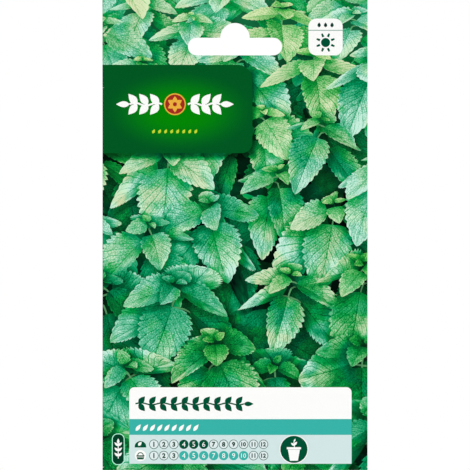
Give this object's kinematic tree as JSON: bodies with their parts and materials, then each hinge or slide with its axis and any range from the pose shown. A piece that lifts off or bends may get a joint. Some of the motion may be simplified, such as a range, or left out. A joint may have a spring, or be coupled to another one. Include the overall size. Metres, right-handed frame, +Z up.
{
  "type": "seed packet",
  "caption": "Flat folded-paper seed packet with a leafy printed front, hung by a slot through its two-ply header, holding a sealed sachet of fine seeds.",
  "frame": {"origin": "where a display hook bears: the top of the hang slot's dome, midway through the front ply", "axes": "+X to the right seen from the printed front, +Y towards the back, +Z up along the packet's height"},
  "size_m": [0.09, 0.0044, 0.16],
  "materials": {
    "printed_paper": "coated paper with a soft gloss varnish over the print, bare white inside and at the cut edges",
    "glue": "dried dispersion glue, satin",
    "glassine": "smooth greaseproof paper, satin",
    "seed_coat": "dry seed husk, matte"
  },
  "bodies": {
    "root": {"envelope": "printed_paper", "side_seam_glue": "glue", "bottom_flap_glue": "glue", "top_flap_glue": "glue", "header_glue_left": "glue", "header_glue_right": "glue", "sachet_front_film": "glassine", "sachet_back_film": "glassine", "seeds": "seed_coat"}
  },
  "joints": []
}
